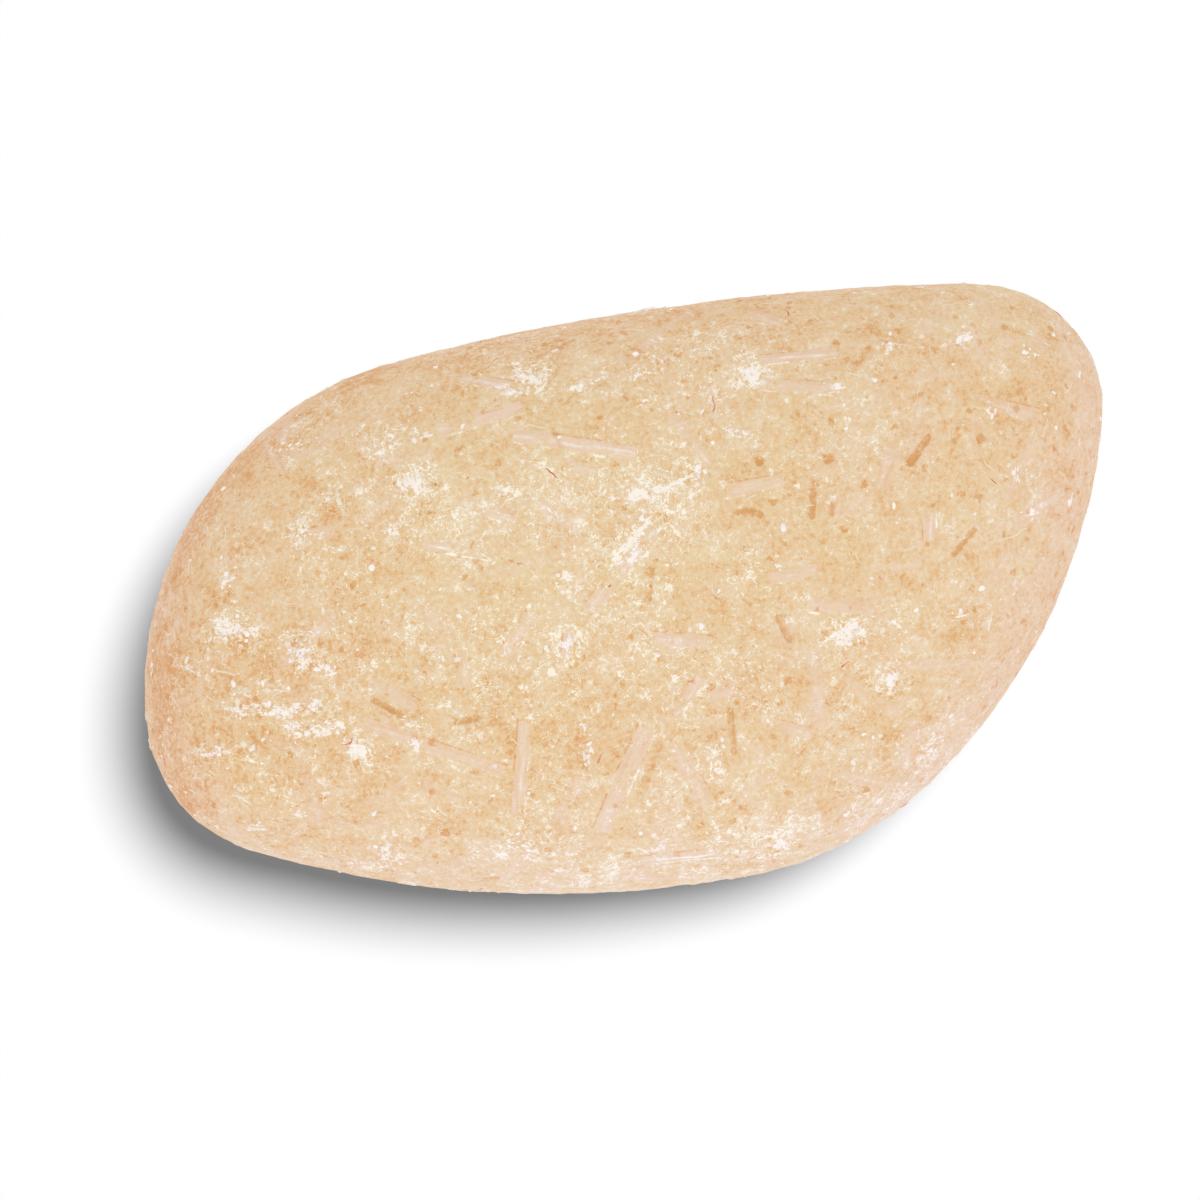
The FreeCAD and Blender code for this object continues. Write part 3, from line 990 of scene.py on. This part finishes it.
def scatter_seed(what, default):
    return number("Seed", f"Which scatter of {what} is laid", default, least=0)


def tint(name, description, default):
    return FloatVectorProperty(name=name, description=description, default=default, size=3, min=0.0,
                               max=2.0, subtype="COLOR")


def mark_settings(title, what, spacing, clearance, lengths, breadths, strengths, seed, **more):
    """The settings of one kind of mark, such as how far apart and how long the scattered ones are."""
    settings = {
        "spacing": size("Spacing", f"Least distance between scattered {what}", spacing),
        "clearance": size("Clearance", f"Distance from chosen {what} to scattered ones", clearance),
        "lengths": sizes("Lengths", f"Shortest and longest of the scattered {what}", lengths),
        "breadths": sizes("Breadths", f"Narrowest and broadest of the scattered {what}", breadths),
        "strengths": FloatVectorProperty(name="Strengths", size=2, min=0.0, max=1.0, default=strengths,
                                         description=f"Faintest and strongest of the scattered {what}"),
        "seed": scatter_seed(what, seed),
        **more,
    }
    return type(title, (PropertyGroup,), {"__annotations__": settings, "__doc__": f"Scattered {what}."})


def rounding(what, default):
    return size("Corner Rounding", f"How far the corners of {what} are rounded", default)


def curl(what, default):
    return size("Curl", f"How far {what} stray from a straight line", default)


NoodleSettings = mark_settings(
    "NoodleSettings", "noodles", spacing=4.5, clearance=3.5, lengths=(3.0, 7.5), breadths=(0.9, 1.6),
    strengths=(0.1, 0.5), seed=11, corner_rounding=rounding("noodles", 0.15))
GrooveSettings = mark_settings(
    "GrooveSettings", "grooves", spacing=7.0, clearance=7.0, lengths=(0.8, 3.0), breadths=(0.4, 0.7),
    strengths=(0.2, 0.7), seed=23, corner_rounding=rounding("grooves", 0.4))
FlakeSettings = mark_settings(
    "FlakeSettings", "flakes", spacing=11.0, clearance=7.0, lengths=(0.8, 4.0), breadths=(0.8, 2.0),
    strengths=(0.2, 0.7), seed=37, corner_rounding=rounding("flakes", 0.6))
ShavingSettings = mark_settings(
    "ShavingSettings", "shavings", spacing=4.5, clearance=1.0, lengths=(0.6, 2.0), breadths=(0.1, 0.18),
    strengths=(1.0, 1.0), seed=41, curl=curl("shavings", 1.2))
FibreSettings = mark_settings(
    "FibreSettings", "fibres", spacing=13.0, clearance=13.0, lengths=(0.4, 1.2), breadths=(0.09, 0.14),
    strengths=(1.0, 1.0), seed=53, curl=curl("fibres", 1.0))


class SkinSettings(PropertyGroup):
    """How fine the bar's skin is, and how deep its relief is."""

    cells_along: number("Cells Along", "Faces of the skin along the bar", 214)
    cells_across: number("Cells Across", "Faces of the skin across the bar", 125)
    cells_up: number("Cells Up", "Faces of the skin up the bar", 67)
    easing_rounds: number("Easing Rounds", "Times that the grid is evened out", 8)
    wave_depth: size("Wave Depth", "Height of the slow waves of the surface", 0.15)
    lump_depth: size("Lump Depth", "Height of the small lumps of the surface", 0.12)
    noodle_depth: size("Noodle Depth", "How far a strong noodle stands proud", 0.08)
    groove_depth: size("Groove Depth", "How deep a strong groove is", 0.25)
    flake_depth: size("Flake Depth", "How far a strong flake stands proud", 0.18)


class FinishSettings(PropertyGroup):
    """The bar's colours, and how strongly they vary."""

    # Deep tan and tan are reached in grooves and pits, and tan on the back, as painted shade.
    deep_tan: tint("Deep Tan", "Colour of the deepest pits", (0.665, 0.34, 0.13))
    tan: tint("Tan", "Colour of grooves and of the back", (0.755, 0.51, 0.285))
    biscuit: tint("Biscuit", "Colour of the plain bar", (0.77, 0.587, 0.38))
    pale_biscuit: tint("Pale Biscuit", "Colour of pale grain", (0.8, 0.65, 0.47))
    cream: tint("Cream", "Colour of threads and specks", (0.86, 0.77, 0.65))
    flake_white: tint("Flake White", "Colour of flakes and crumbs", (0.94, 0.885, 0.805))
    yellow_tint: tint("Yellow Tint", "Multiplies the colour of a yellowish part", (0.998, 1.003, 0.93))
    pink_tint: tint("Pink Tint", "Multiplies the colour of a pinkish part", (1.005, 0.982, 1.1))
    fibre_red: tint("Fibre Red", "Darker colour of the fibres", (0.52, 0.09, 0.06))
    fibre_pink: tint("Fibre Pink", "Paler colour of the fibres", (0.8, 0.33, 0.25))
    plain_paleness: share("Plain Paleness", "How pale the plain bar is, from deep tan to white", 0.43)
    plain_pinkness: share("Plain Pinkness", "How pink the plain bar is, from yellowish to pinkish", 0.32)
    patch_contrast: share("Patch Contrast", "How strongly patches some 6 mm wide vary", 0.6, 3.0)
    lump_contrast: share("Lump Contrast", "How strongly lumps some 2 mm wide vary", 1.0, 3.0)
    grain_contrast: share("Grain Contrast", "How strongly grains some 0.4 mm wide vary", 1.4, 3.0)
    # The threads, flecks and motes are partly the bar's own colour and partly painted glints on tiny bumps.
    torn_contrast: share("Torn Contrast", "How much paler the coarser torn threads are", 0.5, 3.0)
    frayed_contrast: share("Frayed Contrast", "How much paler the finer torn threads are", 0.5, 3.0)
    fleck_contrast: share("Fleck Contrast", "How much paler the larger specks are", 0.42, 3.0)
    mote_contrast: share("Mote Contrast", "How much paler the finest specks are", 0.6, 3.0)
    crumb_paleness: share("Crumb Paleness", "How pale the crumbs are, from deep tan to white", 0.95)
    crumb_pinkness: share("Crumb Pinkness", "How pink the crumbs are, from yellowish to pinkish", 0.5)
    shaving_paleness: share("Shaving Paleness", "How pale the shavings are, from deep tan to white", 0.93)
    shaving_pinkness: share("Shaving Pinkness", "How pink the shavings are, from yellowish to pinkish", 0.4)


class CrumbSettings(PropertyGroup):
    """The crumbs that stick to the bar."""

    spacing: size("Spacing", "Least distance between crumbs", 0.6)
    smallest: size("Smallest", "Width of the smallest crumb", 0.13)
    largest: size("Largest", "Width of the largest crumb", 0.55)
    flatness: share("Flatness", "Height of a crumb as a share of its width", 0.3)
    sparse_share: share("Sparse Share", "How many crumbs lie off the flakes, as a share of those on them",
                        0.09)
    seed: scatter_seed("crumbs", 61)


class StageSettings(PropertyGroup):
    """The floor, the lamps and the camera."""

    view_width: size("View Width", "Width of the view at the bar's widest level", 107.0)
    view_turn: angle("View Turn", "How far the camera is turned about its line of sight", -16.0)
    view_middle: FloatVectorProperty(name="View Middle", description="Point that the camera looks at",
                                     default=(-3.08 * MM, 0.98 * MM, 12.0 * MM), size=3, precision=5,
                                     subtype="TRANSLATION", unit="LENGTH")
    lens: FloatProperty(name="Lens", description="Focal length in millimetres", default=100.0, min=20.0)
    floor_width: size("Floor Width", "Width of the white floor", 4000.0)
    fill: share("Fill", "Light that comes from all round, as a share of plain white", 0.21)
    sky: share("Sky", "Light on the bar from the whole sky, as a share of plain white", 0.33)
    sky_tint: tint("Sky Tint", "Colour of the sky's light on the bar", (0.92, 1.0, 1.1))
    glow: share("Glow", "Warm light that reaches into grooves too, as a share of plain white", 0.43)
    glow_tint: tint("Glow Tint", "Colour of the warm light", (1.11, 1.0, 0.86))
    key: share("Key", "Light on the bar from the soft lamp in front, as a share of plain white", 0.07)
    key_bearing: angle("Key Bearing", "Where the soft lamp stands", -85.0)
    key_height: angle("Key Height", "How high the soft lamp stands", 45.0)
    key_softness: angle("Key Softness", "How wide the soft lamp looks", 60.0)
    shadow_bearing: angle("Shadow Bearing", "Where the lamp that casts the shadow stands", 28.0)
    shadow_height: angle("Shadow Height", "How high the lamp that casts the shadow stands", 67.5)
    shadow_softness: angle("Shadow Softness", "How wide the shadow's lamp looks", 22.0)


GROUPS = {"noodles": NoodleSettings, "grooves": GrooveSettings, "flakes": FlakeSettings,
          "shavings": ShavingSettings, "fibres": FibreSettings, "skin": SkinSettings,
          "finish": FinishSettings, "crumbs": CrumbSettings, "stage": StageSettings}


class ShampooBarSettings(PropertyGroup):
    """All of the bar's settings."""

    __annotations__ = {name: PointerProperty(name=name.capitalize(), description=group.__doc__, type=group)
                       for name, group in GROUPS.items()}


# ---------------------------------------------------------------- pieces

def clear_away(name):
    """Removes a piece that is made again."""
    old = bpy.data.objects.get(name)
    if old:
        bpy.data.objects.remove(old)


def viewing_point(stage):
    """Where the camera stands: straight above the middle of its view."""
    return Vector(stage.view_middle) + Vector((0.0, 0.0, stage.view_width * stage.lens / SENSOR_WIDTH))


def marks_object(name, marks, stage):
    """Lines for the chosen marks, over the places where the camera sees them, with their measures."""
    over_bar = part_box(NODE)[1].z * 2
    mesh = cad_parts[NODE].data
    faces = [face.vertices for face in mesh.polygons]
    solid = BVHTree.FromPolygons([vertex.co for vertex in mesh.vertices], faces)
    eye, level = viewing_point(stage), Vector((0.0, 0.0, stage.view_middle[2]))
    points, edges = [], []
    values = {key: [] for key in ("share", "half_length", "half_breadth", "strength")}
    for x, y, bearing, length, breadth, strength in marks:
        turn = math.radians(bearing)
        run = Vector((math.cos(turn), math.sin(turn), 0)) * (length / 2)
        for step in range(MARK_STEPS + 1):
            at = 2 * step / MARK_STEPS - 1
            if step:
                edges.append((len(points) - 1, len(points)))
            sight = (Vector((x, y, 0)) + run * at) * MM + level - eye
            place = solid.ray_cast(eye, sight)[0]
            if place is None:
                raise RuntimeError(f"the mark of {name} at {x}, {y} runs off the bar")
            points.append((place.x, place.y, over_bar))
            for key, value in zip(values, (at, length / 2 * MM, breadth / 2 * MM, strength)):
                values[key].append(value)
    lines = bpy.data.meshes.new(name)
    lines.from_pydata(points, edges, [])
    for key, column in values.items():
        lines.attributes.new(key, "FLOAT", "POINT").data.foreach_set("value", column)
    laid = bpy.data.objects.new(name, lines)
    bpy.context.scene.collection.objects.link(laid)
    return laid


def mark_inputs(settings, title=""):
    """A kind of mark's settings, under the names of a tree's inputs."""
    values = (settings.spacing, settings.clearance, *settings.lengths, *settings.breadths,
              *settings.strengths, settings.seed)
    return {f"{title}{name}": value for name, value in zip((*MARK_LIMITS, "Seed"), values)}


def made_by(tree, name, inputs):
    """A new piece: the plain mesh that a tree gives for these inputs."""
    clear_away(name)
    collection = bpy.context.scene.collection
    blank = bpy.data.objects.new("blank", bpy.data.meshes.new("blank"))
    collection.objects.link(blank)
    modifier = blank.modifiers.new(tree.name, "NODES")
    modifier.node_group = tree
    for item in tree.interface.items_tree:
        if item.in_out == "INPUT" and item.name in inputs:
            modifier[item.identifier] = inputs.pop(item.name)
    if inputs:
        raise KeyError(f"{tree.name} has no inputs named {sorted(inputs)}")
    graph = bpy.context.evaluated_depsgraph_get()
    mesh = bpy.data.meshes.new_from_object(blank.evaluated_get(graph), depsgraph=graph)
    blank.modifiers.remove(modifier)
    bpy.data.objects.remove(blank)
    if not mesh.polygons:
        raise RuntimeError(f"{tree.name} gave no faces")
    mesh.name = name
    piece = bpy.data.objects.new(name, mesh)
    collection.objects.link(piece)
    return piece


def settings_of(context):
    return context.scene.shampoo_bar


class SHAMPOO_OT_skin(Operator):
    """Make the bar's skin on its solid, with its relief and its marks"""

    bl_idname = "shampoo_bar.make_skin"
    bl_label = "Make Skin"

    def execute(self, context):
        look = settings_of(context)
        low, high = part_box(NODE)
        skin = look.skin
        inputs = {
            "Solid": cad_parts[NODE], "Finish": skin_finish(look.finish), "Middle": (low + high) / 2,
            "Half Size": (high - low) / 2, "Cells X": skin.cells_along, "Cells Y": skin.cells_across,
            "Cells Z": skin.cells_up, "Easing Rounds": skin.easing_rounds,
        }
        for name in RELIEFS:
            inputs[f"{name} Depth"] = getattr(skin, f"{name.lower()}_depth")
        laid = []
        kinds = (("Noodle ", NOODLES, look.noodles), ("Groove ", GROOVES, look.grooves),
                 ("Flake ", FLAKES, look.flakes))
        for title, marks, settings in kinds:
            laid.append(marks_object(f"{title}Marks", marks, look.stage))
            inputs |= mark_inputs(settings, title)
            inputs[f"{title}Marks"] = laid[-1]
            inputs[f"{title}Corner Rounding"] = settings.corner_rounding
        piece = made_by(pressed_bar_tree(), SKIN, inputs)
        for each in laid:
            bpy.data.objects.remove(each)
        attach(piece, "root")
        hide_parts(NODE)
        return {"FINISHED"}


class SHAMPOO_OT_crumbs(Operator):
    """Press crumbs into the skin, most of them on its flakes"""

    bl_idname = "shampoo_bar.make_crumbs"
    bl_label = "Make Crumbs"

    def execute(self, context):
        look = settings_of(context)
        crumbs, tones = look.crumbs, look.finish
        finish = fragment_finish("Crumb Cream", tones, tones.crumb_paleness, tones.crumb_pinkness)
        inputs = {
            "Skin": bpy.data.objects[SKIN], "Finish": finish,
            "Spacing": crumbs.spacing, "Smallest": crumbs.smallest, "Largest": crumbs.largest,
            "Flatness": crumbs.flatness, "Sparse Share": crumbs.sparse_share, "Seed": crumbs.seed,
        }
        piece = made_by(crumbs_tree(), CRUMBS, inputs)
        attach(piece, "root")
        return {"FINISHED"}


def make_slivers(name, marks, look, finish):
    """Slivers laid on the skin: the chosen ones and scattered ones."""
    settings = getattr(look, name)
    laid = marks_object(f"{name}_marks", marks, look.stage)
    inputs = mark_inputs(settings) | {"Skin": bpy.data.objects[SKIN], "Marks": laid, "Finish": finish,
                                      "Curl": settings.curl}
    piece = made_by(slivers_tree(), name, inputs)
    bpy.data.objects.remove(laid)
    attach(piece, "root")


class SHAMPOO_OT_shavings(Operator):
    """Lay thin pale shavings on the skin"""

    bl_idname = "shampoo_bar.make_shavings"
    bl_label = "Make Shavings"

    def execute(self, context):
        look = settings_of(context)
        tones = look.finish
        finish = fragment_finish("Shaving White", tones, tones.shaving_paleness, tones.shaving_pinkness)
        make_slivers(SHAVINGS, PALE_SHAVINGS, look, finish)
        return {"FINISHED"}


class SHAMPOO_OT_fibres(Operator):
    """Lay the few red fibres on the skin"""

    bl_idname = "shampoo_bar.make_fibres"
    bl_label = "Make Fibres"

    def execute(self, context):
        look = settings_of(context)
        fibres = [(*row, FIBRE_THICKNESS, 1.0) for row in RED_FIBRES]
        make_slivers(FIBRES, fibres, look, fibre_finish(look.finish))
        return {"FINISHED"}


def toward(bearing, height):
    """The way to a place in the sky."""
    return Vector((math.cos(bearing) * math.cos(height), math.sin(bearing) * math.cos(height),
                   math.sin(height)))


def distant_lamp(name, lit, light, bearing, height, softness, colour=(1.0, 1.0, 1.0), shadow=True):
    """A far lamp that lights only some objects. A level white surface gets this share of plain white."""
    clear_away(name)
    lamp = bpy.data.lights.new(name, "SUN")
    lamp.energy = light * math.pi / math.sin(height)
    lamp.angle = softness
    lamp.color = colour
    lamp.use_shadow = shadow
    stand = bpy.data.objects.new(name, lamp)
    bpy.context.scene.collection.objects.link(stand)
    stand.rotation_euler = toward(bearing, height).to_track_quat("Z", "Y").to_euler()
    receivers = bpy.data.collections.new(name)
    for each in lit:
        receivers.objects.link(each)
    stand.light_linking.receiver_collection = receivers


def white_floor(width):
    """A level white floor that shows the bar's shadow."""
    clear_away("floor")
    side = width / 2
    mesh = bpy.data.meshes.new("floor")
    mesh.from_pydata([(-side, -side, 0), (side, -side, 0), (side, side, 0), (-side, side, 0)], [],
                     [(0, 1, 2, 3)])
    material = bpy.data.materials.new("White Floor")
    t = Tree.of_material(material)
    t.add("ShaderNodeOutputMaterial", {"Surface": t.out("ShaderNodeBsdfDiffuse", {"Color": (1, 1, 1, 1)})})
    mesh.materials.append(material)
    floor = bpy.data.objects.new("floor", mesh)
    bpy.context.scene.collection.objects.link(floor)
    return floor


def plain_world(fill):
    """A world that is white where it is seen, and lights everything evenly by the fill."""
    world = bpy.data.worlds.new("Plain World")
    bpy.context.scene.world = world
    world.use_nodes = True
    t = Tree.of_world(world)
    path = t.add("ShaderNodeLightPath")
    seen = path.outputs["Is Camera Ray"]
    for ray in ("Is Glossy Ray", "Is Transmission Ray"):
        seen = t.math("MAXIMUM", seen, path.outputs[ray])
    wires = {"Color": (1, 1, 1, 1), "Strength": t.mix(seen, fill, 1.0)}
    t.add("ShaderNodeOutputWorld", {"Surface": t.out("ShaderNodeBackground", wires)})


class SHAMPOO_OT_stage(Operator):
    """Set up the white floor, the soft lamps and the camera straight above"""

    bl_idname = "shampoo_bar.set_stage"
    bl_label = "Set Stage"

    def execute(self, context):
        stage = settings_of(context).stage
        scene = context.scene
        scene.view_settings.view_transform = "Standard"
        bar = [bpy.data.objects[name] for name in (SKIN, CRUMBS, SHAVINGS, FIBRES)]
        floor = white_floor(stage.floor_width)
        plain_world(stage.fill)
        whole_sky = {"bearing": 0.0, "height": math.pi / 2, "softness": math.pi}
        distant_lamp("Sky", bar, stage.sky, colour=stage.sky_tint, **whole_sky)
        distant_lamp("Glow", bar, stage.glow, colour=stage.glow_tint, shadow=False, **whole_sky)
        distant_lamp("Key", bar, stage.key, stage.key_bearing, stage.key_height, stage.key_softness)
        distant_lamp("Shadow Lamp", [floor], 1.0 - stage.fill, stage.shadow_bearing, stage.shadow_height,
                     stage.shadow_softness)
        for piece in bar:
            piece.visible_diffuse = False  # so that the bar throws no colour on its shadow

        clear_away("Camera")
        camera = bpy.data.cameras.new("Camera")
        camera.lens = stage.lens
        camera.sensor_width = SENSOR_WIDTH
        camera.clip_start = NEAR_LIMIT * MM
        viewer = bpy.data.objects.new("Camera", camera)
        scene.collection.objects.link(viewer)
        viewer.location = viewing_point(stage)
        viewer.rotation_euler = (0.0, 0.0, stage.view_turn)
        scene.camera = viewer
        return {"FINISHED"}


STEPS = (SHAMPOO_OT_skin, SHAMPOO_OT_crumbs, SHAMPOO_OT_shavings, SHAMPOO_OT_fibres, SHAMPOO_OT_stage)


class SHAMPOO_PT_panel(Panel):
    """Lists the steps in order, and the settings of each"""

    bl_idname = "SHAMPOO_PT_panel"
    bl_label = "Shampoo Bar"
    bl_space_type = "VIEW_3D"
    bl_region_type = "UI"
    bl_category = "Shampoo Bar"

    def draw(self, context):
        for step in STEPS:
            self.layout.operator(step.bl_idname)
        for name, group in GROUPS.items():
            box = self.layout.box()
            box.label(text=name.capitalize())
            settings = getattr(settings_of(context), name)
            for key in group.__annotations__:
                box.prop(settings, key)


CLASSES = (*GROUPS.values(), ShampooBarSettings, *STEPS, SHAMPOO_PT_panel)


def register():
    for each in CLASSES:
        bpy.utils.register_class(each)
    bpy.types.Scene.shampoo_bar = PointerProperty(name="Shampoo Bar", type=ShampooBarSettings,
                                                  description="Settings of the shampoo bar")


def unregister():
    del bpy.types.Scene.shampoo_bar
    for each in reversed(CLASSES):
        bpy.utils.unregister_class(each)


def main():
    register()
    for make in (bpy.ops.shampoo_bar.make_skin, bpy.ops.shampoo_bar.make_crumbs,
                 bpy.ops.shampoo_bar.make_shavings, bpy.ops.shampoo_bar.make_fibres,
                 bpy.ops.shampoo_bar.set_stage):
        make()


if __name__ == "__main__":
    main()
